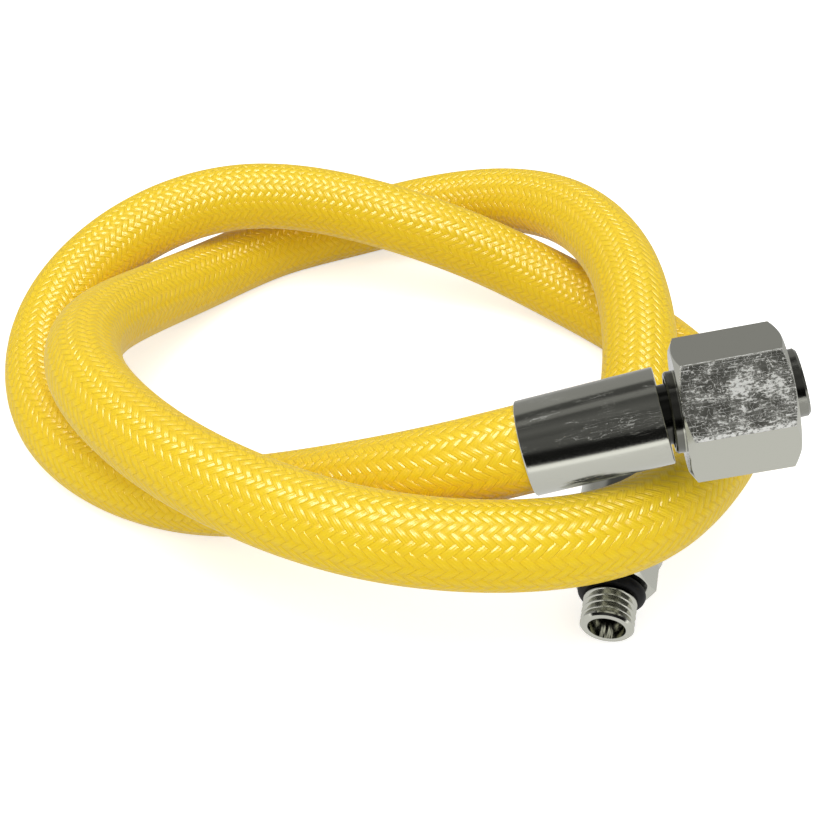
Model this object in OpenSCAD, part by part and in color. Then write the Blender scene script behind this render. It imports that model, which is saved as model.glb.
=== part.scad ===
/* [Hose] */
// Outside diameter of the braided hose
hose_od = 12.7; // [12.5:0.1:12.7]
// Bore of the inner liner
liner_bore = 6.4; // [6.3:0.1:6.6]
// Wall of the inner liner
liner_wall = 1.4; // [1.2:0.1:1.5]
// Thickness of the yarn layer around the liner
yarn_wall = 0.6; // [0.5:0.1:0.7]
// Clearance between one layer of the hose and the next
layer_gap = 0.1; // [0.06:0.02:0.1]

/* [Ferrules] */
// Outside diameter of both crimped ferrules
ferrule_od = 13.7; // [13.5:0.1:13.9]
// Wall of both ferrules around the hose
ferrule_wall = 0.45; // [0.4:0.05:0.5]
// Length of the ferrule at the swivel end
swivel_ferrule_len = 19.6; // [19.4:0.1:20]
// Length of the ferrule at the port end
port_ferrule_len = 16; // [15.8:0.1:16.1]
// Thickness of the closed end of each ferrule
ferrule_lip = 1.8; // [1.6:0.1:2]
// Clearance between the hose and a ferrule
crimp_gap = 0.05; // [0.03:0.01:0.1]
// Diameter of both stems where they leave the ferrule
neck_d = 8.4; // [8.2:0.1:8.6]
// Clearance between a stem's neck and the ferrule's lip
neck_gap = 0.05; // [0.03:0.01:0.1]

/* [Stems] */
// Gas bore through both stems
stem_bore = 4; // [3.6:0.1:4.2]
// Clearance between the barbed tails and the liner
tail_gap = 0.04; // [0.03:0.01:0.1]
// Depth of the barbs on the tails
barb_depth = 0.4; // [0.2:0.1:0.5]
// Diameter of the collar that each ferrule locks behind
collar_d = 11.2; // [10.8:0.1:12]

/* [Swivel nut] */
// Width of the nut across its flats, 11/16 inch
nut_flats = 17.46; // [17.3:0.02:17.6]
// Length of the nut with its hub
nut_len = 16.1; // [15.9:0.1:16.3]
// Diameter of the round hub at the back of the nut
hub_d = 11.4; // [11.2:0.1:12]
// Length of that hub
hub_len = 1.3; // [1:0.1:1.5]
// Gap between the ferrule and the nut, on the stem's axis
nut_stand_off = 0.8; // [0.7:0.1:1]
// Angle that the loose nut droops by
nut_droop = 5; // [0:0.5:5]
// Turn of the nut's corners about its axis
nut_roll = 17; // [0:1:59]
// Radial play of the nut on the stem's neck
nut_play = 0.7; // [0.7:0.05:0.9]
// Major diameter of the nut's thread, 9/16 inch
nut_thread_d = 14.29; // [14.1:0.02:14.4]
// Pitch of the nut's thread, 18 per inch
nut_pitch = 1.411; // [1.3:0.01:1.45]

/* [Nose] */
// Diameter of the flange that holds the nut
flange_d = 11.8; // [11.4:0.1:11.9]
// Thickness of that flange
flange_len = 1.6; // [1.3:0.1:1.7]
// Diameter of the nose that enters the regulator
nose_d = 9.4; // [9.2:0.1:9.6]
// Length of nose that shows past the nut
nose_out = 2.1; // [1.8:0.1:2.3]
// Distance from the nose's tip back to its sealing ring
nose_ring_back = 4.4; // [4.2:0.1:4.6]
// Section of the sealing ring on the nose
nose_ring_section = 1.4; // [1.2:0.1:1.5]

/* [Port end] */
// Width of the port hexagon across its flats, 7/16 inch
port_flats = 11.11; // [11:0.01:11.3]
// Length of the port hexagon
port_hex_len = 5.3; // [5:0.1:5.5]
// Major diameter of the port thread, 5/16 inch
port_thread_d = 7.94; // [7.8:0.01:8]
// Pitch of the port thread, 24 per inch
port_pitch = 1.058; // [1:0.01:1.1]
// Section of the sealing ring behind the port thread
port_ring_section = 1.9; // [1.8:0.05:2]
// Bore of the port's mouth
port_mouth_d = 5.6; // [5.2:0.1:5.7]

/* [Hidden] */
$fn = 64;

// Centre line of the free hose, from the swivel ferrule to the port ferrule.
// A smooth curve is drawn through the neighbourhood of these points.
route = [
    [23.5, -45.5, 29.5], [9.5, -45.5, 25], [-7, -36, 13.5], [-24, -31, 6.5],
    [-40, -24.5, 5], [-53, -13, 5.5], [-59, 2, 7], [-59, 16, 10.5],
    [-53, 30, 14], [-41, 41, 17.5], [-25, 46, 19.5], [-8, 45, 18],
    [9, 39, 16], [25, 38, 9.5], [41, 29, 5], [54, 15, 5],
    [60, -4, 7], [59, -22, 13.5], [51.5, -38, 19], [41, -52, 20.5],
    [25, -58.5, 22.5], [7, -58, 23], [-8, -52, 22], [-23, -43, 22],
    [-35, -32, 21.5], [-46, -17, 21], [-49, 2, 17], [-43, 20, 10.5],
    [-34, 37, 5], [-21, 50, 5], [-5, 57, 5], [11, 58, 9.5],
    [27, 53, 14.5], [39, 41, 18.5], [45, 26, 19.5], [47, 12, 19.5],
    [46.8, -7, 17], [41.8, -29.5, 11.5]
];
last = len(route) - 1;
swivel_way = route[0] - route[1];
port_way = route[last] - route[last - 1];

hose_r = hose_od / 2;
liner_in = liner_bore / 2;
liner_out = liner_in + liner_wall;
yarn_in = liner_out + layer_gap;
yarn_out = yarn_in + yarn_wall;
cover_in = yarn_out + layer_gap;
sides = 10;
route_rings = 70;

ferrule_r = ferrule_od / 2;
grip_r = ferrule_r - ferrule_wall;
end_r = grip_r - crimp_gap;
neck_r = neck_d / 2;
lip_r = neck_r + neck_gap;
collar_r = collar_d / 2;
collar_len = 1.2;
seat_gap = 0.1;
edge = 0.4;
mouth_edge = 0.4 * ferrule_wall;

// The hose ends short of the collar, the collar short of the lip.
swivel_collar_x = swivel_ferrule_len - ferrule_lip - seat_gap - collar_len;
swivel_grip = swivel_collar_x - seat_gap;
port_collar_x = port_ferrule_len - ferrule_lip - seat_gap - collar_len;
port_grip = port_collar_x - seat_gap;

bore_r = stem_bore / 2;
tail_r = liner_in * cos(180 / sides) - tail_gap;
barb_r = tail_r - barb_depth;
tail_start = 1.2;
barb_pitch = 3.6;
swivel_barbs = 4;
port_barbs = 3;

nut_x = swivel_ferrule_len + nut_stand_off;
nut_pivot = 1.5;
nut_hole_r = neck_r + nut_play;
nut_wall = 3.8;
nut_corner_r = nut_flats / 2 / cos(30);
nut_face_r = nut_flats / 2 - 0.2;
nut_root_r = nut_thread_d / 2;
nut_minor_r = nut_root_r - 0.541 * nut_pitch;
nut_well_r = flange_d / 2 + 0.7;
nut_well_len = 3;
nut_ridges = 5;

flange_r = flange_d / 2;
flange_x = nut_x + nut_wall + 0.9;
nose_r = nose_d / 2;
nose_tip = nut_x + nut_len + nose_out;
nose_ring_r = nose_ring_section / 2;
nose_floor_r = nose_r + 0.2 - nose_ring_section;
nose_ring_x = nose_tip - nose_ring_back;
nose_groove = nose_ring_section + 0.2;

port_hex_x = port_ferrule_len + 0.3;
port_hex_end = port_hex_x + port_hex_len;
port_corner_r = port_flats / 2 / cos(30);
port_face_r = port_flats / 2 - 0.15;
port_ring_r = port_ring_section / 2;
port_floor_r = 3.1;
port_ring_gap = 0.05;
port_ring_x = port_hex_end + port_ring_gap + port_ring_r;
port_thread_x = port_hex_end + port_ring_section + 0.1;
port_crest_r = port_thread_d / 2;
port_root_r = port_crest_r - 0.613 * port_pitch;
port_ridges = 4;
port_first = port_thread_x + 0.1;
port_land_x = port_first + port_ridges * port_pitch;
port_tip = port_land_x + 0.7;
port_mouth_r = port_mouth_d / 2;
port_mouth_len = 4;

nickel = [0.74, 0.74, 0.72];
rubber = [0.06, 0.06, 0.06];
yellow = [0.93, 0.8, 0.06];

function heading(v) = atan2(v[1], v[0]);
function climb(v) = asin(v[2] / norm(v));
function unit(v) = v / norm(v);

// Route points, with a mirror image added past each end so that the curve meets both ends.
function knot(i) =
    i < 0 ? 2 * route[0] - route[1] :
    i > last ? 2 * route[last] - route[last - 1] : route[i];

function blend(a, b, c, d, u) =
    (pow(1 - u, 3) * a + (3 * pow(u, 3) - 6 * u * u + 4) * b
    + (3 * u + 3 * u * u - 3 * pow(u, 3) + 1) * c + pow(u, 3) * d) / 6;

function on_route(t) =
    let (i = min(floor(t), last - 1))
    blend(knot(i - 1), knot(i), knot(i + 1), knot(i + 2), t - i);

// Ring centres: one inside each ferrule and the others along the route.
centres = concat(
    [route[0] + swivel_grip * unit(swivel_way)],
    [for (i = [0:route_rings - 1]) on_route(i * last / (route_rings - 1))],
    [route[last] + port_grip * unit(port_way)]
);
rings = len(centres);

function forward(i) = unit(centres[min(i + 1, rings - 1)] - centres[max(i - 1, 0)]);

// The first two rings and the last two are held by the ferrules.
function is_held(i) = i < 2 || i > rings - 3;

// One ring of the tube, its lowest side flat. The floor presses the lowest points up.
function ring(i, r) =
    let (f = forward(i), side = unit(cross(f, [0, 0, 1])), up = cross(side, f))
    [for (k = [0:sides - 1])
        let (a = (k + 0.5) * 360 / sides, p = centres[i] + r * (sin(a) * side - cos(a) * up))
        [p[0], p[1], max(p[2], hose_r - r)]];

function wall(i, k, shift, inside) =
    let (a = shift + i * sides + k, b = shift + i * sides + (k + 1) % sides, c = b + sides, d = a + sides)
    inside ? [[a, c, b], [a, d, c]] : [[a, b, c], [a, c, d]];

function rim(i, k, shift, front) =
    let (a = i * sides + k, b = i * sides + (k + 1) % sides, c = b + shift, d = a + shift)
    front ? [[a, b, c], [a, c, d]] : [[a, d, c], [a, c, b]];

// A layer of the hose, between two radii. held is the outer one inside the ferrules.
module hose_layer(inner, outer, held) {
    shift = rings * sides;
    points = concat(
        [for (i = [0:rings - 1]) each ring(i, is_held(i) ? held : outer)],
        [for (i = [0:rings - 1]) each ring(i, inner)]
    );
    faces = concat(
        [for (i = [0:rings - 2]) for (k = [0:sides - 1]) each wall(i, k, 0, false)],
        [for (i = [0:rings - 2]) for (k = [0:sides - 1]) each wall(i, k, shift, true)],
        [for (k = [0:sides - 1]) each rim(0, k, shift, false)],
        [for (k = [0:sides - 1]) each rim(rings - 1, k, shift, true)]
    );
    polyhedron(points = points, faces = faces);
}

// Least gap of the hose to itself, on points of the tube's own centre line.
gap_steps = 4;
beads = [for (i = [0:rings - 2]) for (j = [0:gap_steps - 1])
    centres[i] + (centres[i + 1] - centres[i]) * j / gap_steps];
apart = 18;
least_gap = min([for (i = [0:len(beads) - 1]) for (j = [0:len(beads) - 1])
    if (j - i >= apart) norm(beads[i] - beads[j])]) - hose_od;
echo(least_gap = least_gap);
assert(least_gap > 0.4, "the hose comes too close to itself");

// A turned piece along +X, from points of radius and distance.
module turned(profile) {
    rotate([0, 90, 0])
        rotate_extrude()
            polygon(profile);
}

module at_swivel() {
    translate(route[0])
        rotate([0, -climb(swivel_way), heading(swivel_way)])
            children();
}

module at_port() {
    translate(route[last])
        rotate([0, -climb(port_way), heading(port_way)])
            children();
}

module at_nut() {
    at_swivel()
        translate([nut_x + nut_pivot, 0, 0])
            rotate([0, nut_droop, 0])
                translate([-nut_pivot, 0, 0])
                    children();
}

module hexagon(flats, length) {
    rotate([0, 90, 0])
        cylinder(h = length, r = flats / 2 / cos(30), $fn = 6);
}

module sealing_ring(x, centre_r, section_r) {
    translate([x, 0, 0])
        rotate([0, 90, 0])
            rotate_extrude()
                translate([centre_r, 0])
                    circle(r = section_r);
}

module ferrule(length) {
    turned([
        [grip_r, mouth_edge], [grip_r + mouth_edge / 2, 0], [ferrule_r - mouth_edge, 0],
        [ferrule_r, mouth_edge],
        [ferrule_r, length - edge], [ferrule_r - edge, length], [lip_r, length],
        [lip_r, length - ferrule_lip], [grip_r, length - ferrule_lip]
    ]);
}

// Outline of a barbed tail and of the collar behind the ferrule's lip.
function tail(barbs, collar_x) = concat(
    [[bore_r, tail_start], [barb_r, tail_start]],
    [for (k = [0:barbs - 1]) each [
        [tail_r, tail_start + (k + 0.7) * barb_pitch],
        [tail_r, tail_start + (k + 0.85) * barb_pitch],
        [barb_r, tail_start + (k + 0.9) * barb_pitch]]],
    [[barb_r, collar_x], [collar_r, collar_x], [collar_r, collar_x + collar_len],
        [neck_r, collar_x + collar_len]]
);

// Outline of thread ridges with flat crests.
function ridges(count, start, pitch, root, crest) =
    [for (k = [0:count - 1]) each [
        [root, start + k * pitch],
        [crest, start + (k + 0.37) * pitch],
        [crest, start + (k + 0.5) * pitch],
        [root, start + (k + 0.87) * pitch]]];

module swivel_ferrule() {
    color(nickel)
        at_swivel()
            ferrule(swivel_ferrule_len);
}

module swivel_stem() {
    flange_end = flange_x + flange_len;
    groove_x = nose_ring_x - nose_groove / 2;
    color(nickel)
        at_swivel()
            turned(concat(
                tail(swivel_barbs, swivel_collar_x),
                [[neck_r, flange_x], [flange_r - edge, flange_x], [flange_r, flange_x + edge],
                    [flange_r, flange_end - edge], [flange_r - edge, flange_end],
                    [nose_r, flange_end], [nose_r, groove_x], [nose_floor_r, groove_x],
                    [nose_floor_r, groove_x + nose_groove], [nose_r, groove_x + nose_groove],
                    [nose_r, nose_tip - edge], [nose_r - edge, nose_tip],
                    [bore_r + 0.9, nose_tip], [bore_r, nose_tip - 0.9]]
            ));
}

module swivel_nut() {
    bevel = (nut_corner_r - nut_face_r) * tan(30);
    wide = nut_corner_r + 0.5;
    wide_bevel = bevel + 0.5 * tan(30);
    thread_x = nut_wall + nut_well_len;
    first = thread_x + 0.3;
    end = first + nut_ridges * nut_pitch;
    color(nickel)
        at_nut()
            difference() {
                intersection() {
                    rotate([nut_roll, 0, 0])
                        hexagon(nut_flats, nut_len);
                    turned([
                        [0, 0], [hub_d / 2 - 0.3, 0], [hub_d / 2, 0.3], [hub_d / 2, hub_len],
                        [nut_face_r, hub_len], [wide, hub_len + wide_bevel],
                        [wide, nut_len - wide_bevel], [nut_face_r, nut_len], [0, nut_len]
                    ]);
                }
                turned(concat(
                    [[0, -1], [nut_hole_r, -1], [nut_hole_r, nut_wall], [nut_well_r, nut_wall],
                        [nut_well_r, thread_x], [nut_root_r, thread_x]],
                    ridges(nut_ridges, first, nut_pitch, nut_root_r, nut_minor_r),
                    [[nut_root_r, end], [nut_root_r + 0.3, nut_len], [nut_root_r + 0.3, nut_len + 1],
                        [0, nut_len + 1]]
                ));
            }
}

module nose_o_ring() {
    color(rubber)
        at_swivel()
            sealing_ring(nose_ring_x, nose_floor_r + 0.05 + nose_ring_r, nose_ring_r);
}

module hose_liner() {
    color([0.15, 0.15, 0.16])
        hose_layer(liner_in, liner_out, liner_out);
}

module hose_reinforcement() {
    color([0.85, 0.83, 0.76])
        hose_layer(yarn_in, yarn_out, yarn_out);
}

module hose_cover() {
    color(yellow)
        hose_layer(cover_in, hose_r, end_r);
}

module port_ferrule() {
    color(nickel)
        at_port()
            ferrule(port_ferrule_len);
}

module port_stem() {
    bevel = (port_corner_r - port_face_r) * tan(30);
    wide = port_corner_r + 0.5;
    wide_bevel = bevel + 0.5 * tan(30);
    color(nickel)
        at_port()
            difference() {
                union() {
                    intersection() {
                        translate([port_hex_x, 0, 0])
                            rotate([30, 0, 0])
                                hexagon(port_flats, port_hex_len);
                        turned([
                            [0, port_hex_x], [port_face_r, port_hex_x],
                            [wide, port_hex_x + wide_bevel], [wide, port_hex_end - wide_bevel],
                            [port_face_r, port_hex_end], [0, port_hex_end]
                        ]);
                    }
                    turned(concat(
                        tail(port_barbs, port_collar_x),
                        [[neck_r, port_hex_x + 0.5], [port_floor_r, port_hex_x + 0.5],
                            [port_floor_r, port_thread_x], [port_root_r, port_thread_x]],
                        ridges(port_ridges, port_first, port_pitch, port_root_r, port_crest_r),
                        [[port_crest_r, port_land_x + 0.1], [port_crest_r, port_tip - 0.3],
                            [port_crest_r - 0.3, port_tip], [bore_r, port_tip]]
                    ));
                }
                turned([
                    [0, port_hex_x - 1], [bore_r, port_hex_x - 1],
                    [bore_r, port_tip - port_mouth_len - 0.6], [port_mouth_r, port_tip - port_mouth_len],
                    [port_mouth_r, port_tip + 1], [0, port_tip + 1]
                ]);
            }
}

module port_o_ring() {
    color(rubber)
        at_port()
            sealing_ring(port_ring_x, port_floor_r + port_ring_gap + port_ring_r, port_ring_r);
}

swivel_ferrule();
swivel_stem();
swivel_nut();
nose_o_ring();
hose_liner();
hose_reinforcement();
hose_cover();
port_ferrule();
port_stem();
port_o_ring();
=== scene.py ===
# %% [markdown]
# # A braided regulator hose
#
# The real object is one flexible gas hose with a metal end piece crimped on at each end.
# One end has a hexagon nut that turns on a hollow stem. The other end has a short screw thread
# with a rubber ring behind it. The hose itself is a rubber tube inside a tight yellow braid.
#
# The solid model is loaded first. It is the frame that every Blender piece has to fit, so no
# piece is placed by eye. The model also says which pieces turn together.

# %% Load the solid model
import math

import bpy
from mathutils import Matrix, Vector


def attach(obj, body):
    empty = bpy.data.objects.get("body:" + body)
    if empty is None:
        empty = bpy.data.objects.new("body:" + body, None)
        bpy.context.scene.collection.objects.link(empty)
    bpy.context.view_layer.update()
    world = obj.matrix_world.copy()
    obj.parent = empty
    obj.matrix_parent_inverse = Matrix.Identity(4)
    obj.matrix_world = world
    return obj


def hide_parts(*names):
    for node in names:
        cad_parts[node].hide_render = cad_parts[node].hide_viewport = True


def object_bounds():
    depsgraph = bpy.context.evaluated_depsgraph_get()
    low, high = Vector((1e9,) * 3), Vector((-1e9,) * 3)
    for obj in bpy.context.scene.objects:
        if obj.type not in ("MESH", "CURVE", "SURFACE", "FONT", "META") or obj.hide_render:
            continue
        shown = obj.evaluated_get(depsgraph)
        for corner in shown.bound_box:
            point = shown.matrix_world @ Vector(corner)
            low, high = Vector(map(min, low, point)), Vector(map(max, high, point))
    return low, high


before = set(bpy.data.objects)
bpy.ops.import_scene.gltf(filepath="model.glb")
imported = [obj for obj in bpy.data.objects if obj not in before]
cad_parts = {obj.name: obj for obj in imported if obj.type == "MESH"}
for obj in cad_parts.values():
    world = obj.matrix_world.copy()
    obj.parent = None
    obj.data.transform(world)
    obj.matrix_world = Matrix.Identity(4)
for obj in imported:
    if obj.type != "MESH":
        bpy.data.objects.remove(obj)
cad_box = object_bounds()
MM = 0.001

print("nodes:", sorted(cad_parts))
print("size, mm:", [round((b - a) / MM, 1) for a, b in zip(*cad_box)])

# %% [markdown]
# ## The camera
#
# The hose lies on a table and is seen from the front and above, a quarter of a metre away. A
# camera close to a small object shows near parts clearly larger than far parts, so the
# distance matters as much as the angle. The camera could be aimed with a constraint, but a
# plain place and tilt are easier to read and to change.

# %% Camera
CAMERA_PLACE = Vector((6.9, -193.2, 152.2)) * MM
CAMERA_TILT_DOWN = 38
CAMERA_LENS = 60.4
CAMERA_SENSOR = 36
CAMERA_NEAREST = 10 * MM

camera_data = bpy.data.cameras.new("camera")
camera_data.lens = CAMERA_LENS
camera_data.sensor_width = CAMERA_SENSOR
camera_data.clip_start = CAMERA_NEAREST
camera = bpy.data.objects.new("camera", camera_data)
camera.location = CAMERA_PLACE
camera.rotation_euler = (math.radians(90 - CAMERA_TILT_DOWN), 0, 0)
bpy.context.scene.collection.objects.link(camera)
bpy.context.scene.camera = camera

print("camera looks down by", CAMERA_TILT_DOWN, "degrees")

# %% [markdown]
# ## The line that the hose follows
#
# A hose is stiff, so it can only lie in wide smooth bends. Its centre line is drawn as a cubic
# B-spline: a curve that passes near its points instead of through them. A spline that passes
# through every point would wobble between them. These are the same points as in the solid
# model, so the soft hose lies where the solid one does.

# %% Route of the hose, in millimetres
ROUTE = [
    (23.5, -45.5, 29.5), (9.5, -45.5, 25), (-7, -36, 13.5), (-24, -31, 6.5),
    (-40, -24.5, 5), (-53, -13, 5.5), (-59, 2, 7), (-59, 16, 10.5),
    (-53, 30, 14), (-41, 41, 17.5), (-25, 46, 19.5), (-8, 45, 18),
    (9, 39, 16), (25, 38, 9.5), (41, 29, 5), (54, 15, 5),
    (60, -4, 7), (59, -22, 13.5), (51.5, -38, 19), (41, -52, 20.5),
    (25, -58.5, 22.5), (7, -58, 23), (-8, -52, 22), (-23, -43, 22),
    (-35, -32, 21.5), (-46, -17, 21), (-49, 2, 17), (-43, 20, 10.5),
    (-34, 37, 5), (-21, 50, 5), (-5, 57, 5), (11, 58, 9.5),
    (27, 53, 14.5), (39, 41, 18.5), (45, 26, 19.5), (47, 12, 19.5),
    (46.8, -7, 17), (41.8, -29.5, 11.5),
]
HOSE_RADIUS = 6.35
SWIVEL_GRIP = 14
PORT_GRIP = 11

knots = [Vector(point) for point in ROUTE]
knots = [2 * knots[0] - knots[1]] + knots + [2 * knots[-1] - knots[-2]]


def on_route(t):
    """A point of the spline. A whole t is the start of a new stretch."""
    i = min(int(t), len(ROUTE) - 2)
    u = t - i
    a, b, c, d = knots[i:i + 4]
    return ((1 - u) ** 3 * a + (3 * u ** 3 - 6 * u ** 2 + 4) * b
            + (1 + 3 * u + 3 * u ** 2 - 3 * u ** 3) * c + u ** 3 * d) / 6


def evenly(points, step):
    """The same line with its points an even step apart."""
    spaced = [points[0]]
    left = step
    for a, b in zip(points, points[1:]):
        run = (b - a).length
        while run >= left:
            a = a + (b - a) * (left / run)
            run = (b - a).length
            spaced.append(a)
            left = step
        left -= run
    return spaced


swivel_way = (knots[1] - knots[2]).normalized()
port_way = (knots[-2] - knots[-3]).normalized()
STEPS = 40
free_line = [on_route(t / STEPS) for t in range(STEPS * (len(ROUTE) - 1) + 1)]
RING_STEP = 0.75
hose_line = evenly(
    [free_line[0] + swivel_way * SWIVEL_GRIP] + free_line + [free_line[-1] + port_way * PORT_GRIP],
    RING_STEP,
)
free_length = sum((b - a).length for a, b in zip(free_line, free_line[1:]))

print("free hose:", round(free_length), "mm,", len(hose_line), "rings")

# %% [markdown]
# ## The hose
#
# The hose could be a Blender curve with a round bevel, but a mesh tube keeps exact control of
# its surface. Each face gets a place along and around the hose, which is stored as a UV map.
# The braid is later drawn on it, so the yarns follow every bend. Each point is also held in
# the solid model's box. That presses the underside flat on the table, and keeps this round
# tube from standing a quarter of a millimetre outside the ten-sided solid one.

# %% Tube around the line
HOSE_SIDES = 48
YARNS_EACH_WAY = 24
BRAID_PITCH = 1.7


def tube(name, line, radius, sides):
    """A tube whose UV map counts braid pitches along the hose and yarns around it."""
    verts = []
    for i, centre in enumerate(line):
        forward = (line[min(i + 1, len(line) - 1)] - line[max(i - 1, 0)]).normalized()
        side = forward.cross(Vector((0, 0, 1))).normalized()
        up = side.cross(forward)
        for k in range(sides):
            angle = math.tau * k / sides
            point = centre + radius * (math.sin(angle) * side - math.cos(angle) * up)
            verts.append([min(max(at * MM, low), high) for at, low, high in zip(point, *cad_box)])
    faces = []
    for i in range(len(line) - 1):
        for k in range(sides):
            a, b = i * sides + k, i * sides + (k + 1) % sides
            faces.append((a, a + sides, b + sides, b))
    faces.append(tuple(range(sides)))
    faces.append(tuple(reversed(range((len(line) - 1) * sides, len(line) * sides))))
    mesh = bpy.data.meshes.new(name)
    mesh.from_pydata(verts, [], faces)
    lay = mesh.uv_layers.new(name="lay")
    for face in mesh.polygons[:(len(line) - 1) * sides]:
        i, k = divmod(face.index, sides)
        corners = ((i, k), (i + 1, k), (i + 1, k + 1), (i, k + 1))
        for loop, (row, column) in zip(face.loop_indices, corners):
            along = row * RING_STEP / BRAID_PITCH
            lay.data[loop].uv = (along, column * YARNS_EACH_WAY / sides)
    mesh.shade_smooth()
    piece = bpy.data.objects.new(name, mesh)
    bpy.context.scene.collection.objects.link(piece)
    return piece


hose = tube("hose", hose_line, HOSE_RADIUS, HOSE_SIDES)
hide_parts("hose_cover", "hose_reinforcement", "hose_liner")
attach(hose, "hose")

print("hose:", len(hose.data.polygons), "faces")

# %% [markdown]
# ## Helpers for materials
#
# A material is a graph of small nodes, and so is the light of the room. The graphs could be
# wired node by node, but that is long and hides what they do. A few helpers make nodes and do
# arithmetic on their sockets, so that a pattern reads like a formula.

# %% Helpers for node graphs


def grey(level):
    return (level, level, level)


class Graph:
    """The node graph of a material or a world, with short ways to add nodes to it."""

    def __init__(self, owner):
        owner.use_nodes = True
        self.nodes = owner.node_tree.nodes
        self.links = owner.node_tree.links

    def node(self, kind, **settings):
        made = self.nodes.new(kind)
        for key, value in settings.items():
            setattr(made, key, value)
        return made

    def feed(self, value, socket):
        """Puts a number, a colour or another node's output into a socket."""
        if isinstance(value, bpy.types.NodeSocket):
            self.links.new(value, socket)
        else:
            socket.default_value = value

    def sum(self, operation, *values):
        made = self.node("ShaderNodeMath", operation=operation)
        for value, socket in zip(values, made.inputs):
            self.feed(value, socket)
        return made.outputs[0]

    def noise(self, place, scale, detail=3, roughness=0.5):
        made = self.node("ShaderNodeTexNoise")
        self.feed(place, made.inputs["Vector"])
        self.feed(scale, made.inputs["Scale"])
        self.feed(detail, made.inputs["Detail"])
        self.feed(roughness, made.inputs["Roughness"])
        return made.outputs["Fac"]

    def ramp(self, value, stops):
        """A soft step or a colour band: stops are (position, colour) pairs."""
        made = self.node("ShaderNodeValToRGB")
        for i, (position, colour) in enumerate(stops):
            band = made.color_ramp.elements
            stop = band[i] if i < 2 else band.new(position)
            stop.position = position
            stop.color = (*colour, 1) if len(colour) == 3 else colour
        self.feed(value, made.inputs[0])
        return made.outputs[0]

    def mix(self, factor, a, b):
        made = self.node("ShaderNodeMix", data_type="RGBA")
        self.feed(factor, made.inputs[0])
        self.feed(a if isinstance(a, bpy.types.NodeSocket) else (*a, 1), made.inputs[6])
        self.feed(b if isinstance(b, bpy.types.NodeSocket) else (*b, 1), made.inputs[7])
        return made.outputs[2]

    def bump(self, height, distance, strength=1.0, under=None):
        made = self.node("ShaderNodeBump")
        made.inputs["Distance"].default_value = distance
        made.inputs["Strength"].default_value = strength
        self.feed(height, made.inputs["Height"])
        if under is not None:
            self.feed(under, made.inputs["Normal"])
        return made.outputs[0]

    def choose(self, share, a, b):
        """Two shaders as one: a where the share is 0 and b where it is 1."""
        made = self.node("ShaderNodeMixShader")
        for value, socket in zip((share, a, b), made.inputs):
            self.feed(value, socket)
        return made.outputs[0]


class Finish(Graph):
    """A new material with its Principled shader."""

    def __init__(self, name):
        self.material = bpy.data.materials.new(name)
        super().__init__(self.material)
        self.shader = self.nodes["Principled BSDF"]


print("helpers for graphs are ready")

# %% [markdown]
# ## The yellow braid
#
# Twenty-four yarns wind one way round the hose and twenty-four the other way. Each goes over
# two others and then under two, so the slanted floats stand in rows along the hose, and the
# slant changes from one row to the next. The braid could be modelled yarn by yarn, but a
# formula is lighter and never cuts into itself. The height of a yarn is round across it and
# rises and sinks along it. The higher of the two yarns is the one that shows. Light passes
# through the fibres and softens the shading between yarns, while the gloss still follows each
# one, so the colour gets a shallow relief and the gloss coat on top of it a deep one.
# The colour is painted as well: painted shade where a yarn sinks, and a painted highlight on its crest.

# %% Braid material
YARN_YELLOW = (0.86, 0.58, 0.002)
YARN_PAINTED_HIGHLIGHT = (0.88, 0.62, 0.006)
YARN_PAINTED_SHADE = (0.82, 0.53, 0.001)
YARN_FADED = (0.84, 0.54, 0.002)
YARN_CURVE = 3.9
FIBRES_ACROSS = 3
COLOUR_RELIEF = 0.16 * MM
GLOSS_RELIEF = 0.5 * MM
FIBRE_RELIEF = 0.2 * MM


def yarn(finish, across, along, first):
    """Height of one family of yarns, and the place across the yarn that is on top."""
    row = finish.sum("FLOOR", across)
    centred = finish.sum("SUBTRACT", finish.sum("SUBTRACT", across, row), 0.5)
    square = finish.sum("MULTIPLY", finish.sum("MULTIPLY", centred, centred), YARN_CURVE)
    dome = finish.sum("SQRT", finish.sum("SUBTRACT", 1.0, square))
    travel = finish.sum("SUBTRACT", finish.sum("ADD", along, row), first)
    wave = finish.sum("COSINE", finish.sum("MULTIPLY", travel, math.pi / 2))
    height = finish.sum("ADD", finish.sum("MULTIPLY", dome, 0.5), finish.sum("MULTIPLY", wave, 0.5))
    return height, centred


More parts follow.
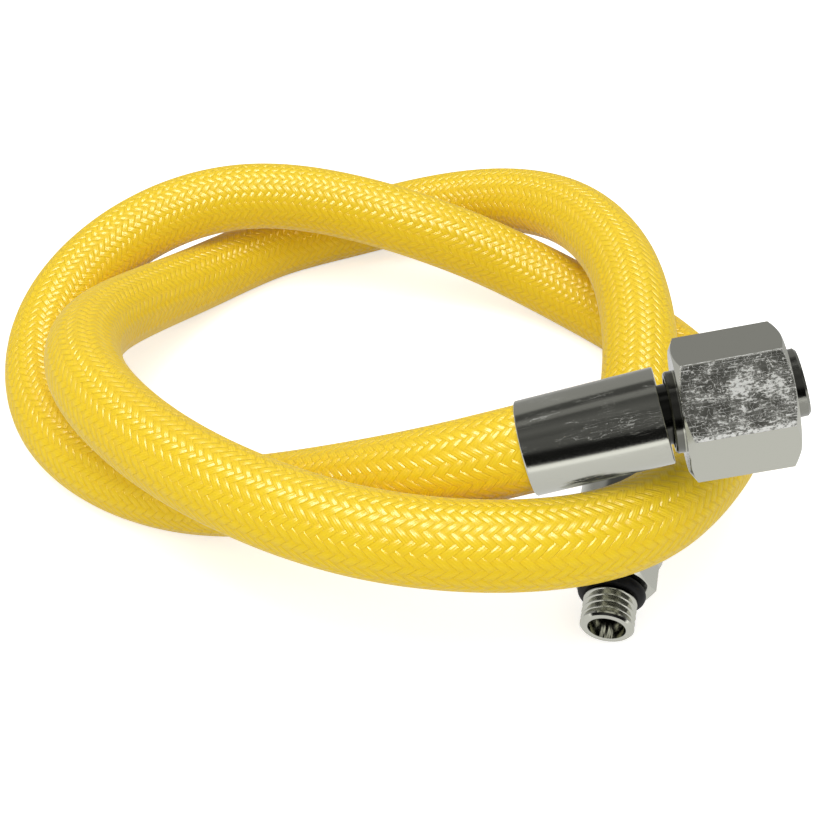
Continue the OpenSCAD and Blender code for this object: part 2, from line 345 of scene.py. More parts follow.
def braid():
    finish = Finish("yellow_braid")
    place = finish.node("ShaderNodeUVMap", uv_map="lay")
    parts = finish.node("ShaderNodeSeparateXYZ")
    finish.feed(place.outputs[0], parts.inputs[0])
    right = finish.sum("ADD", parts.outputs[1], parts.outputs[0])
    left = finish.sum("SUBTRACT", parts.outputs[1], parts.outputs[0])
    height_right, centred_right = yarn(finish, right, left, 1)
    height_left, centred_left = yarn(finish, left, right, 3)
    height = finish.sum("MAXIMUM", height_right, height_left)
    on_top = finish.sum("GREATER_THAN", height_right, height_left)

    centred = finish.sum("ADD", finish.sum("MULTIPLY", on_top, centred_right),
                         finish.sum("MULTIPLY", finish.sum("SUBTRACT", 1.0, on_top), centred_left))
    fibres = finish.sum("SINE", finish.sum("MULTIPLY", centred, math.tau * FIBRES_ACROSS))
    ground = finish.node("ShaderNodeTexCoord").outputs["Object"]
    fluff = finish.noise(ground, 2200, 4, 0.6)
    drift = finish.noise(ground, 55, 2)

    # Painted shade and highlight: the yarn colour darkens towards the gaps and pales on the crests.
    shade = finish.ramp(height, [(0.1, YARN_PAINTED_SHADE), (0.45, YARN_YELLOW), (1.0, YARN_PAINTED_HIGHLIGHT)])
    faded = finish.ramp(drift, [(0.35, grey(0)), (0.75, grey(0.35))])
    painted_shading_and_fade = finish.mix(faded, shade, YARN_FADED)
    finish.feed(painted_shading_and_fade, finish.shader.inputs["Base Color"])
    finish.shader.inputs["Roughness"].default_value = 0.6
    finish.shader.inputs["Specular IOR Level"].default_value = 0.1
    fine = finish.sum("ADD", finish.sum("MULTIPLY", fibres, 0.08), finish.sum("MULTIPLY", fluff, 0.15))
    finish.feed(finish.bump(finish.sum("ADD", height, fine), COLOUR_RELIEF),
                finish.shader.inputs["Normal"])

    finish.shader.inputs["Coat Weight"].default_value = 0.6
    finish.shader.inputs["Coat Roughness"].default_value = 0.3
    relief = finish.bump(height, GLOSS_RELIEF)
    finish.feed(finish.bump(fine, FIBRE_RELIEF, 0.6, relief), finish.shader.inputs["Coat Normal"])
    return finish.material


hose.data.materials.append(braid())
print("braid: one float every", BRAID_PITCH, "mm along the hose")

# %% [markdown]
# ## Turned metal parts
#
# The ferrules and stems are turned on a lathe, so each is round about one line. Spinning an
# outline would do, but a circle that is extruded along the line and scaled at each step gives
# the same clean rings and shows how the shape grows. Work is done in millimetres about the Z
# axis. The finished piece is then scaled, turned and moved to its seat in one go.

# %% Lathe helpers
TURN_SIDES = 96
SAME_POINT = 0.001


def only(piece):
    """Leaves one object selected and active."""
    bpy.ops.object.select_all(action="DESELECT")
    piece.select_set(True)
    bpy.context.view_layer.objects.active = piece


def lathe(name, outline):
    """A closed ring of an outline of (distance along, radius) points."""
    bpy.ops.object.select_all(action="DESELECT")
    along, radius = outline[0]
    bpy.ops.mesh.primitive_circle_add(vertices=TURN_SIDES, radius=radius, location=(0, 0, along))
    piece = bpy.context.object
    piece.name = name
    bpy.ops.object.transform_apply(location=True)
    bpy.ops.object.mode_set(mode="EDIT")
    for next_along, next_radius in outline[1:] + outline[:1]:
        bpy.ops.mesh.extrude_region_move(TRANSFORM_OT_translate={"value": (0, 0, next_along - along)})
        size = next_radius / radius
        bpy.ops.transform.resize(value=(size, size, 1), center_override=(0, 0, next_along))
        along, radius = next_along, next_radius
    bpy.ops.mesh.select_all(action="SELECT")
    bpy.ops.mesh.remove_doubles(threshold=SAME_POINT)
    bpy.ops.mesh.normals_make_consistent(inside=False)
    bpy.ops.object.mode_set(mode="OBJECT")
    return piece


def finish_modifier(piece, kind, **settings):
    """Adds a modifier and applies it."""
    only(piece)
    made = piece.modifiers.new(kind.lower(), kind)
    for key, value in settings.items():
        setattr(made, key, value)
    bpy.ops.object.modifier_apply(modifier=made.name)


def round_edges(piece, width, segments, sharper_than):
    """Rolls round each edge that turns by more than an angle in degrees."""
    finish_modifier(piece, "BEVEL", width=width, segments=segments, limit_method="ANGLE",
                    angle_limit=math.radians(sharper_than))


def cut(piece, tool, operation):
    """Joins or cuts two closed shapes, and removes the tool."""
    finish_modifier(piece, "BOOLEAN", operation=operation, object=tool, solver="EXACT")
    bpy.data.objects.remove(tool)


def seat_turn(way):
    """The turn that takes a lathe's Z axis to a direction, with its -X side up."""
    side = Vector((0, 0, 1)).cross(way).normalized()
    return Matrix((-way.cross(side), side, way)).transposed()


def seat(piece, origin, way, node, body, material, smooth=30):
    """Puts a finished piece in its place, hides the solid it stands for, and names its body."""
    only(piece)
    piece.matrix_world = Matrix.Translation(origin * MM) @ seat_turn(way).to_4x4() @ Matrix.Scale(MM, 4)
    bpy.ops.object.transform_apply(location=True, rotation=True, scale=True)
    bpy.ops.object.shade_smooth_by_angle(angle=math.radians(smooth))
    piece.data.materials.clear()
    piece.data.materials.append(material)
    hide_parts(node)
    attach(piece, body)
    print(piece.name, "has", len(piece.data.polygons), "faces")


# %% [markdown]
# ## Marks on metal
#
# Bright nickel is a mirror that is never clean: it carries fine scratches, small specks, and on
# the nut the white rubs that a spanner leaves. A mirror alone looks like glass, so the marks do
# most of the work. They could be painted on, but noise that is stretched and cut off gives them
# without a picture. It is read in the piece's own millimetres, so that marks run along the
# piece. A scratch is the thin line where stretched noise passes through its middle value.

# %% Places and scratches


def own_place(finish, origin, way):
    """A place in the millimetres of a seated piece."""
    ground = finish.node("ShaderNodeTexCoord").outputs["Object"]
    own = finish.node("ShaderNodeMapping", vector_type="TEXTURE")
    own.inputs["Location"].default_value = origin * MM
    own.inputs["Rotation"].default_value = seat_turn(way).to_euler()
    own.inputs["Scale"].default_value = (MM, MM, MM)
    finish.feed(ground, own.inputs["Vector"])
    return own.outputs[0]


def squeezed(finish, place, squeeze, turn=(0, 0, 0)):
    """A squeezed and turned place, which stretches the noise that is read there."""
    made = finish.node("ShaderNodeMapping")
    made.inputs["Rotation"].default_value = turn
    made.inputs["Scale"].default_value = squeeze
    finish.feed(place, made.inputs["Vector"])
    return made.outputs[0]


def scratches(finish, place, scale, width):
    """Thin lines in a stretched noise."""
    value = finish.noise(place, scale, 2, 0.5)
    away = finish.sum("ABSOLUTE", finish.sum("SUBTRACT", value, 0.5))
    return finish.ramp(away, [(0, grey(1)), (width, grey(0))])


print("marks are drawn in millimetres")

# %% [markdown]
# ## Wear and painted highlights
#
# A turned sleeve that was only handled has a few patches of specks and of scratches along it. A
# spanner wears one flat of the nut much more: white rubs lie thickest in a streak across its
# middle and in loose clusters, and its edges are chipped. The streak and the pale edges are also
# painted highlights, for the light that the middle of the flat and its rolled edges catch. One
# recipe for both would be shorter, but the flat has to be found first, by how far out and how
# high on the nut a point is.

# %% Wear and painted highlights
RUBBED_FLAT = (-0.713, -0.701)
FLAT_SKIN = 0.25
EDGE_WEAR_AND_HIGHLIGHT = 0.19
STREAK_HEIGHT = 0.4
STREAK_LENGTH = 16


def handled(finish, place, wear, grain, along, across):
    """Light wear of a turned piece."""
    edge = 0.70 - 0.14 * wear
    specks = finish.ramp(grain, [(edge - 0.05, grey(0)), (edge + 0.02, grey(1))])
    lines = finish.sum("MAXIMUM", along, finish.sum("MULTIPLY", across, 0.3))
    marks = finish.sum("MINIMUM", finish.sum("ADD", specks, lines), 1.0)
    patches = finish.noise(squeezed(finish, place, (1, 1, 0.3)), 0.30, 3, 0.6)
    where = finish.ramp(patches, [(0.56 - 0.16 * wear, grey(0)), (0.66 - 0.10 * wear, grey(1))])
    return finish.sum("MULTIPLY", finish.sum("MULTIPLY", marks, where), 0.35 + 0.5 * wear)


def flat_rubs_and_highlights(finish, place, flats, grain, fine, lines):
    """White marks rubbed on one flat of a hexagon that is flats wide, and its chipped edges.
    The streak and the pale edges are partly painted highlights.
    """
    parts = finish.node("ShaderNodeSeparateXYZ")
    finish.feed(place, parts.inputs[0])
    x, y, along = parts.outputs
    outward = finish.sum("ADD", finish.sum("MULTIPLY", x, RUBBED_FLAT[0]),
                         finish.sum("MULTIPLY", y, RUBBED_FLAT[1]))
    up = finish.sum("SUBTRACT", finish.sum("MULTIPLY", x, RUBBED_FLAT[1]),
                    finish.sum("MULTIPLY", y, RUBBED_FLAT[0]))
    on_flat = finish.sum("GREATER_THAN", outward, flats / 2 - FLAT_SKIN)
    corner = flats / math.sqrt(12)
    # Painted highlight: the pale edges of the flat are partly chipped and partly a painted highlight on
    # the rolled edges.
    near_edge = finish.sum("GREATER_THAN", finish.sum("ABSOLUTE", up), corner - EDGE_WEAR_AND_HIGHLIGHT)
    chips_and_highlight = finish.ramp(grain, [(0.42, grey(0.2)), (0.52, grey(1))])

    # Painted highlight: the streak across the middle of the flat is partly rubbing and partly a painted
    # highlight.
    off_middle = finish.sum("ABSOLUTE", finish.sum("SUBTRACT", up, STREAK_HEIGHT))
    across = finish.ramp(finish.sum("MULTIPLY", off_middle, 0.5), [(0.1, grey(1)), (0.9, grey(0))])
    length = finish.ramp(finish.sum("DIVIDE", along, STREAK_LENGTH),
                         [(0.30, grey(0)), (0.55, grey(1)), (0.88, grey(1)), (0.98, grey(0.3))])
    streak = finish.sum("MULTIPLY", across, length)
    clusters = finish.ramp(finish.noise(place, 0.38, 3, 0.6), [(0.38, grey(0)), (0.62, grey(1))])

    dense = finish.sum("MULTIPLY_ADD", clusters, 0.13, finish.sum("MULTIPLY_ADD", streak, 0.11, -0.09))
    rubs_and_glints = finish.ramp(finish.sum("ADD", grain, dense), [(0.53, grey(0)), (0.58, grey(1))])
    smear_and_sheen = finish.sum("MULTIPLY", finish.sum("MULTIPLY_ADD", streak, 0.5, clusters), fine)
    marks = finish.sum("MAXIMUM", finish.sum("MULTIPLY", rubs_and_glints, 0.85), lines)
    marks = finish.sum("MAXIMUM", marks, finish.sum("MULTIPLY", smear_and_sheen, 0.4))
    marks = finish.sum("MAXIMUM", marks, finish.sum("MULTIPLY", near_edge, chips_and_highlight))
    return finish.sum("MULTIPLY", marks, on_flat)


print("the streak on the flat is", STREAK_LENGTH, "mm long")

# %% [markdown]
# ## Nickel plate
#
# The plate is very slightly warm. Where it is marked it turns paler, rougher and less like a
# mirror, and a hair of relief follows the marks. Shade in a deep place, such as the neck between
# the ferrule and the nut, could be left to the light, but here that stretch of the piece is
# darkened as painted shade. So is the nut's hub beside that gap, and the end of the stem's nose
# is darkened as a painted darker reflection.

# %% Nickel
NICKEL = (0.66, 0.66, 0.58)
# The pale colour of rubs, and of the painted highlights on the nut's flat.
RUBS_AND_HIGHLIGHTS = (0.90, 0.90, 0.86)
MARK_RELIEF = 0.03 * MM


def nickel(name, origin, way, wear, flats=None, darkened_stretches=()):
    """Plated metal. wear goes from 0, as new, to 1, much handled. flats is given for a hexagon
    with a rubbed flat, which also carries painted highlights. darkened_stretches lists the
    stretches of the piece that are darkened as painted shade and painted dark reflection, each as
    start, end and the share of brightness that is left."""
    finish = Finish(name)
    place = own_place(finish, origin, way)
    grain = finish.noise(squeezed(finish, place, (1, 1, 0.5)), 3.0, 5, 0.75)
    fine = finish.noise(place, 9, 3, 0.6)
    long_lines = squeezed(finish, place, (1.4, 1.4, 0.12), (0, 0.1, 0))
    cross_lines = squeezed(finish, place, (0.25, 1.2, 1.2), (0.3, 0, 0.9))
    along = scratches(finish, long_lines, 1.3, 0.012)
    across = scratches(finish, cross_lines, 1.1, 0.010)
    if flats is None:
        mark = handled(finish, place, wear, grain, along, across)
    else:
        mark = flat_rubs_and_highlights(finish, place, flats, grain, fine, finish.sum("MAXIMUM", along, across))

    colour = finish.mix(mark, NICKEL, RUBS_AND_HIGHLIGHTS)
    parts = finish.node("ShaderNodeSeparateXYZ")
    finish.feed(place, parts.inputs[0])
    # Painted shade: each stretch is darkened towards black, for shade in a deep place and for a darker
    # reflection.
    for start, end, left in darkened_stretches:
        inside = finish.sum("MULTIPLY", finish.sum("GREATER_THAN", parts.outputs[2], start),
                            finish.sum("LESS_THAN", parts.outputs[2], end))
        colour = finish.mix(finish.sum("MULTIPLY", inside, 1 - left), colour, grey(0))
    finish.feed(colour, finish.shader.inputs["Base Color"])
    finish.feed(finish.sum("SUBTRACT", 1.0, finish.sum("MULTIPLY", mark, 0.7)),
                finish.shader.inputs["Metallic"])
    haze = finish.sum("MULTIPLY_ADD", fine, 0.10, 0.07)
    finish.feed(finish.sum("MULTIPLY_ADD", mark, 0.35, haze), finish.shader.inputs["Roughness"])
    relief = finish.sum("ADD", mark, finish.sum("MULTIPLY", fine, 0.3))
    finish.feed(finish.bump(relief, MARK_RELIEF, 0.5), finish.shader.inputs["Normal"])
    return finish.material


swivel_at = knots[1]
port_at = knots[-2]
port_nickel = nickel("port_nickel", port_at, port_way, 0.0)
ferrule_nickel = nickel("ferrule_nickel", swivel_at, swivel_way, 0.3)

print("ready:", port_nickel.name, "and", ferrule_nickel.name)

# %% [markdown]
# ## The ferrules
#
# A ferrule is a plain sleeve. It is squeezed on the hose so that the braid can't slip out, and
# its far end is closed in to a lip that locks it behind the stem's collar. Its outer edges are
# rolled round. They could be arcs in the outline, but a bevel on a sharp one gives the same.

# %% Ferrules
FERRULE_RADIUS = 6.85
GRIP_RADIUS = 6.4
NECK_RADIUS = 4.2
LIP = 1.8
LIP_HOLE = NECK_RADIUS + 0.05
ROLLED_EDGE = 0.28
SWIVEL_FERRULE = 19.6
PORT_FERRULE = 16


def ferrule(name, length):
    sleeve = lathe(name, [
        (0, GRIP_RADIUS), (0, FERRULE_RADIUS), (length, FERRULE_RADIUS),
        (length, LIP_HOLE), (length - LIP, LIP_HOLE), (length - LIP, GRIP_RADIUS),
    ])
    round_edges(sleeve, ROLLED_EDGE, 3, 40)
    return sleeve


swivel_sleeve = ferrule("swivel_sleeve", SWIVEL_FERRULE)
seat(swivel_sleeve, swivel_at, swivel_way, "swivel_ferrule", "hose", ferrule_nickel)
port_sleeve = ferrule("port_sleeve", PORT_FERRULE)
seat(port_sleeve, port_at, port_way, "port_ferrule", "hose", port_nickel)

# %% [markdown]
# ## The swivel stem
#
# The stem is the hollow core of the swivel end. Its barbed tail sits in the hose, a flange
# keeps the nut from sliding off, and its nose enters the regulator with a rubber ring in a
# groove. Only the neck and the end of the nose show, so a short tube could stand for it. The
# whole stem is turned all the same, because the nut can be looked into from its open end.

# %% Swivel stem
BORE_RADIUS = 2
TAIL_START = 1.2
BARB_PITCH = 3.6
BARB_FOOT = 2.6
BARB_TOP = 3.0
COLLAR = 5.6
COLLAR_LENGTH = 1.2
COLLAR_TO_LIP = 1.3
NUT_X = 20.4
NUT_LENGTH = 16.1
NUT_WALL = 3.8
FLANGE = 5.9
FLANGE_LENGTH = 1.6
FLANGE_GAP = 0.9
NOSE = 4.7
NOSE_OUT = 2.1
NOSE_EDGE = 0.35
NOSE_FUNNEL = 0.9
NOSE_TIP = NUT_X + NUT_LENGTH + NOSE_OUT
NOSE_RING_X = NOSE_TIP - 4.4
GROOVE = 1.6
NOSE_FLOOR = 3.5


def tail(barbs, lip_x):
    """Outline of the barbed tail and its collar, up to the neck."""
    points = [(TAIL_START, BORE_RADIUS), (TAIL_START, BARB_FOOT)]
    for k in range(barbs):
        start = TAIL_START + k * BARB_PITCH
        points += [(start + 0.7 * BARB_PITCH, BARB_TOP), (start + 0.85 * BARB_PITCH, BARB_TOP),
                   (start + 0.9 * BARB_PITCH, BARB_FOOT)]
    collar_x = lip_x - COLLAR_TO_LIP
    collar_end = collar_x + COLLAR_LENGTH
    return points + [(collar_x, BARB_FOOT), (collar_x, COLLAR), (collar_end, COLLAR),
                     (collar_end, NECK_RADIUS)]


flange_x = NUT_X + NUT_WALL + FLANGE_GAP
flange_end = flange_x + FLANGE_LENGTH
groove_start = NOSE_RING_X - GROOVE / 2
groove_end = NOSE_RING_X + GROOVE / 2
stem_outline = tail(4, SWIVEL_FERRULE - LIP) + [
    (flange_x, NECK_RADIUS), (flange_x, FLANGE), (flange_end, FLANGE), (flange_end, NOSE),
    (groove_start, NOSE), (groove_start, NOSE_FLOOR),
    (groove_end, NOSE_FLOOR), (groove_end, NOSE),
    (NOSE_TIP - NOSE_EDGE, NOSE), (NOSE_TIP, NOSE - NOSE_EDGE),
    (NOSE_TIP, BORE_RADIUS + NOSE_FUNNEL), (NOSE_TIP - NOSE_FUNNEL, BORE_RADIUS),
]
stem = lathe("stem", stem_outline)
round_edges(stem, 0.1, 2, 50)
# Painted shade: the neck between the ferrule and the nut keeps a tenth of its brightness.
neck_painted_shade = (SWIVEL_FERRULE - 1, NUT_X + 2, 0.1)
# Painted reflection: the end of the nose keeps half its brightness, so that it reflects darker.
nose_painted_reflection = (NOSE_TIP - 2.4, NOSE_TIP + 1, 0.5)
stem_nickel = nickel("stem_nickel", swivel_at, swivel_way, 0.2, darkened_stretches=[neck_painted_shade, nose_painted_reflection])
seat(stem, swivel_at, swivel_way, "swivel_stem", "hose", stem_nickel)

# %% [markdown]
# ## The swivel nut
#
# The nut is a hexagon bar that was turned at both ends, which leaves the curved lines where
# each corner is cut to a cone. That is how it is made here: a six-sided cylinder is intersected
# with a turned shape, and then bored. Drawing those curved lines by hand would be slower and
# less true. The nut is loose on its stem, so it droops a little.

# %% Swivel nut
NUT_FLATS = 17.46
NUT_ROLL = 17
NUT_DROOP = 5
NUT_PIVOT = 1.5
HUB_RADIUS = 5.7
HUB = 1.3
HUB_EDGE = 0.25
CORNER_CUT = 30
NUT_HOLE = NECK_RADIUS + 0.7
FLANGE_ROOM = 3
FLANGE_ROOM_RADIUS = 6.6
NUT_ROOT = 7.145
NUT_PITCH = 1.411
NUT_CREST = NUT_ROOT - 0.541 * NUT_PITCH
NUT_RIDGES = 5
NUT_LEAD = 0.3
NUT_MOUTH = NUT_ROOT + 0.3
CUT_PAST = 1
NEAR_AXIS = 0.01


def hexagon(name, flats, start, length, roll):
    """A six-sided bar about Z. With no roll, a corner points along X."""
    bpy.ops.object.select_all(action="DESELECT")
    bpy.ops.mesh.primitive_cylinder_add(
        vertices=6, radius=flats / math.sqrt(3), depth=length,
        location=(0, 0, start + length / 2), rotation=(0, 0, math.radians(roll + 30)),
    )
    bar = bpy.context.object
    bar.name = name
    bpy.ops.object.transform_apply(location=True, rotation=True)
    return bar


def turned_ends(start, end, flats, face):
    """Outline of a bar whose corners are cut to cones at both ends."""
    wide = flats / math.sqrt(3) + 0.5
    rise = (wide - face) * math.tan(math.radians(CORNER_CUT))
    return [(start, face), (start + rise, wide), (end - rise, wide), (end, face)]


def solid_lathe(name, outline):
    """A turned solid: the ends of its outline are brought to the axis."""
    (first, _), (last, _) = outline[0], outline[-1]
    return lathe(name, [(first, NEAR_AXIS)] + outline + [(last, NEAR_AXIS)])


def ridges(count, start, pitch, root, crest):
    """Outline of thread ridges with flat crests."""
    points = []
    for k in range(count):
        foot = start + k * pitch
        points += [(foot, root), (foot + 0.37 * pitch, crest),
                   (foot + 0.5 * pitch, crest), (foot + 0.87 * pitch, root)]
    return points


nut = hexagon("nut", NUT_FLATS, 0, NUT_LENGTH, NUT_ROLL)
hub = [(0, HUB_RADIUS - HUB_EDGE), (HUB_EDGE, HUB_RADIUS), (HUB, HUB_RADIUS)]
nut_ends = hub + turned_ends(HUB, NUT_LENGTH, NUT_FLATS, NUT_FLATS / 2 - 0.2)
cut(nut, solid_lathe("nut_ends", nut_ends), "INTERSECT")

thread_x = NUT_WALL + FLANGE_ROOM
thread_end = thread_x + NUT_LEAD + NUT_RIDGES * NUT_PITCH
bore_line = [
    (-CUT_PAST, NUT_HOLE), (NUT_WALL, NUT_HOLE), (NUT_WALL, FLANGE_ROOM_RADIUS),
    (thread_x, FLANGE_ROOM_RADIUS), (thread_x, NUT_ROOT),
]
bore_line += ridges(NUT_RIDGES, thread_x + NUT_LEAD, NUT_PITCH, NUT_ROOT, NUT_CREST)
bore_line += [(thread_end, NUT_ROOT), (NUT_LENGTH, NUT_MOUTH), (NUT_LENGTH + CUT_PAST, NUT_MOUTH)]
cut(nut, solid_lathe("nut_bore", bore_line), "DIFFERENCE")
round_edges(nut, 0.14, 2, 25)

side = Vector((0, 0, 1)).cross(swivel_way).normalized()
nut_way = Matrix.Rotation(math.radians(NUT_DROOP), 3, side) @ swivel_way
nut_at = swivel_at + swivel_way * (NUT_X + NUT_PIVOT) - nut_way * NUT_PIVOT
# Painted shade: the nut's hub beside the gap at the neck keeps 30 % of its brightness.
hub_painted_shade = (-1, HUB - 0.1, 0.3)
nut_nickel = nickel("nut_nickel", nut_at, nut_way, 1.0, NUT_FLATS, [hub_painted_shade])
seat(nut, nut_at, nut_way, "swivel_nut", "nut", nut_nickel, smooth=20)

# %% [markdown]
# ## The port stem
#
# The other end screws into the regulator's port. Behind its thread is a small hexagon for a
# spanner. The thread could be a helix, but at this pitch it would lean by only two degrees, so
# ring-shaped ridges stand for it. The stem is joined from a hexagon and a turned shank, as one
# piece of bar is cut to both.

# %% Port stem
PORT_FLATS = 11.11
PORT_HEX = (16.3, 21.6)
PORT_FLOOR = 3.1
PORT_THREAD = 23.6
PORT_RIDGES = 4
PORT_CREST = 3.97
PORT_PITCH = 1.058
PORT_ROOT = PORT_CREST - 0.613 * PORT_PITCH
PORT_LEAD = 0.1
PORT_LAND = 0.7
PORT_EDGE = 0.3
PORT_MOUTH = 2.8
MOUTH_DEPTH = 4
hex_start, hex_end = PORT_HEX
land_x = PORT_THREAD + PORT_LEAD + PORT_RIDGES * PORT_PITCH
port_tip = land_x + PORT_LAND

port_stem = hexagon("port_fitting", PORT_FLATS, hex_start, hex_end - hex_start, 30)
port_ends = turned_ends(hex_start, hex_end, PORT_FLATS, PORT_FLATS / 2 - 0.15)
cut(port_stem, solid_lathe("port_ends", port_ends), "INTERSECT")
shank = tail(3, PORT_FERRULE - LIP)[1:] + [
    (hex_start + 0.5, NECK_RADIUS), (hex_start + 0.5, PORT_FLOOR),
    (PORT_THREAD, PORT_FLOOR), (PORT_THREAD, PORT_ROOT),
]
shank += ridges(PORT_RIDGES, PORT_THREAD + PORT_LEAD, PORT_PITCH, PORT_ROOT, PORT_CREST)
shank += [(land_x + 0.1, PORT_CREST), (port_tip - PORT_EDGE, PORT_CREST),
          (port_tip, PORT_CREST - PORT_EDGE)]
cut(port_stem, solid_lathe("shank", shank), "UNION")
gas_way = [
    (0, BORE_RADIUS), (port_tip - MOUTH_DEPTH - 0.6, BORE_RADIUS),
    (port_tip - MOUTH_DEPTH, PORT_MOUTH), (port_tip + CUT_PAST, PORT_MOUTH),
]
cut(port_stem, solid_lathe("gas_way", gas_way), "DIFFERENCE")
round_edges(port_stem, 0.05, 2, 35)
seat(port_stem, port_at, port_way, "port_stem", "hose", port_nickel, smooth=25)

# %% [markdown]
# ## The sealing rings
#
# Each ring is black rubber that was pressed in a mould, so it has a hair-thin line around its
# outside where the mould parted, and it is squeezed a little flat in its groove. A plain torus
# would look like a bead. Here its inner side is flattened on the groove's floor and its mould
# line is pulled out. The rubber is dull, and dust makes it a little uneven.

# %% Sealing rings
SQUEEZE = 0.06
MOULD_LINE = 0.03
NOSE_SECTION = 1.4
PORT_SECTION = 1.9
DUST_RELIEF = 0.04 * MM


def sealing_ring(name, centre_x, floor, section):
    """A rubber ring that lies on a groove's floor."""
    bpy.ops.object.select_all(action="DESELECT")
    bpy.ops.mesh.primitive_torus_add(
        major_radius=floor + section / 2, minor_radius=section / 2,
        major_segments=96, minor_segments=24, location=(0, 0, centre_x),
    )
    ring = bpy.context.object
    ring.name = name
    bpy.ops.object.transform_apply(location=True)
    inner = floor + SQUEEZE * section
    outer = floor + section
    for vertex in ring.data.vertices:
        radius = math.hypot(vertex.co.x, vertex.co.y)
        wanted = max(radius, inner)
        if radius > outer - 0.002 * section:
            wanted = outer + MOULD_LINE
        vertex.co.x *= wanted / radius
        vertex.co.y *= wanted / radius
    return ring


def seal_rubber():
    finish = Finish("seal_rubber")
    ground = finish.node("ShaderNodeTexCoord").outputs["Object"]
    dust = finish.noise(ground, 900, 5, 0.6)
    finish.feed(finish.ramp(dust, [(0.45, grey(0.004)), (0.8, grey(0.014))]),
                finish.shader.inputs["Base Color"])
    finish.feed(finish.sum("MULTIPLY_ADD", dust, 0.3, 0.35), finish.shader.inputs["Roughness"])
    finish.shader.inputs["Specular IOR Level"].default_value = 0.25
    finish.feed(finish.bump(dust, DUST_RELIEF, 0.4), finish.shader.inputs["Normal"])
    return finish.material


rubber = seal_rubber()
nose_ring = sealing_ring("nose_ring", NOSE_RING_X, NOSE_FLOOR + 0.02, NOSE_SECTION)
seat(nose_ring, swivel_at, swivel_way, "nose_o_ring", "hose", rubber, smooth=60)
port_ring = sealing_ring("port_ring", hex_end + 1, PORT_FLOOR + 0.03, PORT_SECTION)
seat(port_ring, port_at, port_way, "port_o_ring", "hose", rubber, smooth=60)

# %% [markdown]
# ## The ends of the hose
#
# Its line runs from inside one ferrule to inside the other. The far end carries the port
# fitting with its sleeve and its ring.

# %% [markdown]
# ## Table and light
#
# Bright metal shows its surroundings, so they are built as a product studio is: a white table
# and soft light overhead, with the room dark in front. That dark part gives the metal its
# black bands, which is what makes it read as metal. The table could be lit until it is pure
# white, but then the hose would be too bright. Instead it glows a little for the camera only,
# and it still shows the shadow.

# %% Table
TABLE_SIZE = 6000 * MM
TABLE_DEPTH = 0.1 * MM
TABLE_COLOUR = grey(0.86)
TABLE_GLOW = 0.6

bpy.ops.object.select_all(action="DESELECT")
bpy.ops.mesh.primitive_plane_add(size=TABLE_SIZE, location=(0, 0, -TABLE_DEPTH))
table = bpy.context.object
table.name = "table"


def table_white():
    finish = Finish("table_white")
    finish.shader.inputs["Base Color"].default_value = (*TABLE_COLOUR, 1)
    finish.shader.inputs["Roughness"].default_value = 1
    finish.shader.inputs["Specular IOR Level"].default_value = 0
    glowing = finish.node("ShaderNodeEmission")
    glowing.inputs["Strength"].default_value = TABLE_GLOW
    brighter = finish.node("ShaderNodeAddShader")
    finish.feed(finish.shader.outputs[0], brighter.inputs[0])
    finish.feed(glowing.outputs[0], brighter.inputs[1])
    seen = finish.node("ShaderNodeLightPath").outputs["Is Camera Ray"]
    surface = finish.choose(seen, finish.shader.outputs[0], brighter.outputs[0])
    finish.feed(surface, finish.nodes["Material Output"].inputs["Surface"])
    return finish.material


table.data.materials.append(table_white())

# %% [markdown]
# ## Room
#
# The room is drawn as bands of brightness around the hose, by the angle from the front
# horizon over the top to the back. Metal sees these bands, and everything else is lit by an
# even white. Cards and lamps could be placed around the hose instead, but bands are quicker
# to tune, because each band is one number. The bands below the horizon stand for the table,
# so the table itself is left out of reflections. The hose is too, because in such narrow
# polished bands its yellow would hide the shape of the metal.

# %% Room
WHITE = (1, 1, 1, 1)
ROOM_BANDS = [
    (-180, 0.30), (-141, 0.68), (-60, 0.74), (-27, 0.78), (-24, 1.15), (-15, 1.10),
    (-12, 0.01), (14, 0.005), (24, 0.085), (48, 0.095), (52, 0.07), (60, 0.085),
    (70, 0.12), (94, 0.06), (99, 0.20), (110, 0.22), (115, 0.06), (132, 0.07),
    (138, 0.30), (180, 0.30),
]
EVEN_LIGHT = 0.90

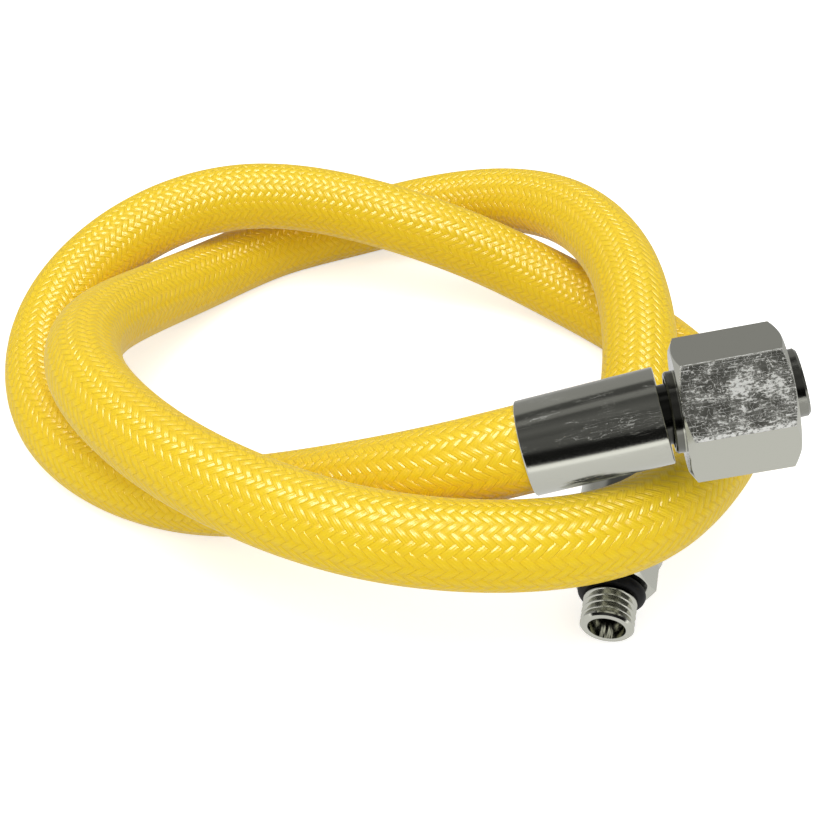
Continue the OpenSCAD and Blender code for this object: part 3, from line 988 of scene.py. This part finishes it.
world = bpy.data.worlds.new("room")
bpy.context.scene.world = world
room = Graph(world)


def glow(colour, strength=1.0):
    """Light that comes from all round."""
    made = room.node("ShaderNodeBackground")
    room.feed(colour, made.inputs["Color"])
    room.feed(strength, made.inputs["Strength"])
    return made.outputs[0]


direction = room.node("ShaderNodeSeparateXYZ")
room.feed(room.node("ShaderNodeTexCoord").outputs["Generated"], direction.inputs[0])
_, back, up = direction.outputs
climb = room.sum("ARCTAN2", up, room.sum("MULTIPLY", back, -1.0))
turn = room.sum("ADD", room.sum("DIVIDE", climb, math.tau), 0.5)
bands = room.ramp(turn, [(angle / 360 + 0.5, grey(level)) for angle, level in ROOM_BANDS])

ray = room.node("ShaderNodeLightPath").outputs
light = room.choose(ray["Is Glossy Ray"], glow(WHITE, EVEN_LIGHT), glow(bands))
whole = room.choose(ray["Is Camera Ray"], light, glow(WHITE))
room.feed(whole, room.nodes["World Output"].inputs["Surface"])
table.visible_glossy = False
hose.visible_glossy = False

print("room has", len(ROOM_BANDS), "bands")

# %% [markdown]
# ## Lamps
#
# One large soft lamp hangs over the table and gives the hose its shape. It could also make the
# gloss, but on bright metal it would be a hard white line. So a second lamp serves the gloss of
# the hose alone, and puts the small glints on its yarns.

# %% Lamps


def softbox(name, place, size, power, only_for=None):
    """A square soft light that points at the middle of the hose. Sizes are in metres."""
    data = bpy.data.lights.new(name, "AREA")
    data.size = size
    data.energy = power
    lamp = bpy.data.objects.new(name, data)
    lamp.location = place
    lamp.rotation_euler = (-Vector(place)).to_track_quat("-Z", "Y").to_euler()
    bpy.context.scene.collection.objects.link(lamp)
    if only_for is not None:
        lit = bpy.data.collections.new(name + "_serves")
        lit.objects.link(only_for)
        lamp.light_linking.receiver_collection = lit
    return lamp


soft = softbox("top_light", (-0.1, -0.1, 0.8), size=0.5, power=2)
soft.visible_glossy = False
glint = softbox("glint_light", (0, -0.05, 0.6), size=0.45, power=10, only_for=hose)
glint.visible_diffuse = False
bpy.context.scene.view_settings.view_transform = "Standard"

print("lamps:", soft.name, "and", glint.name)
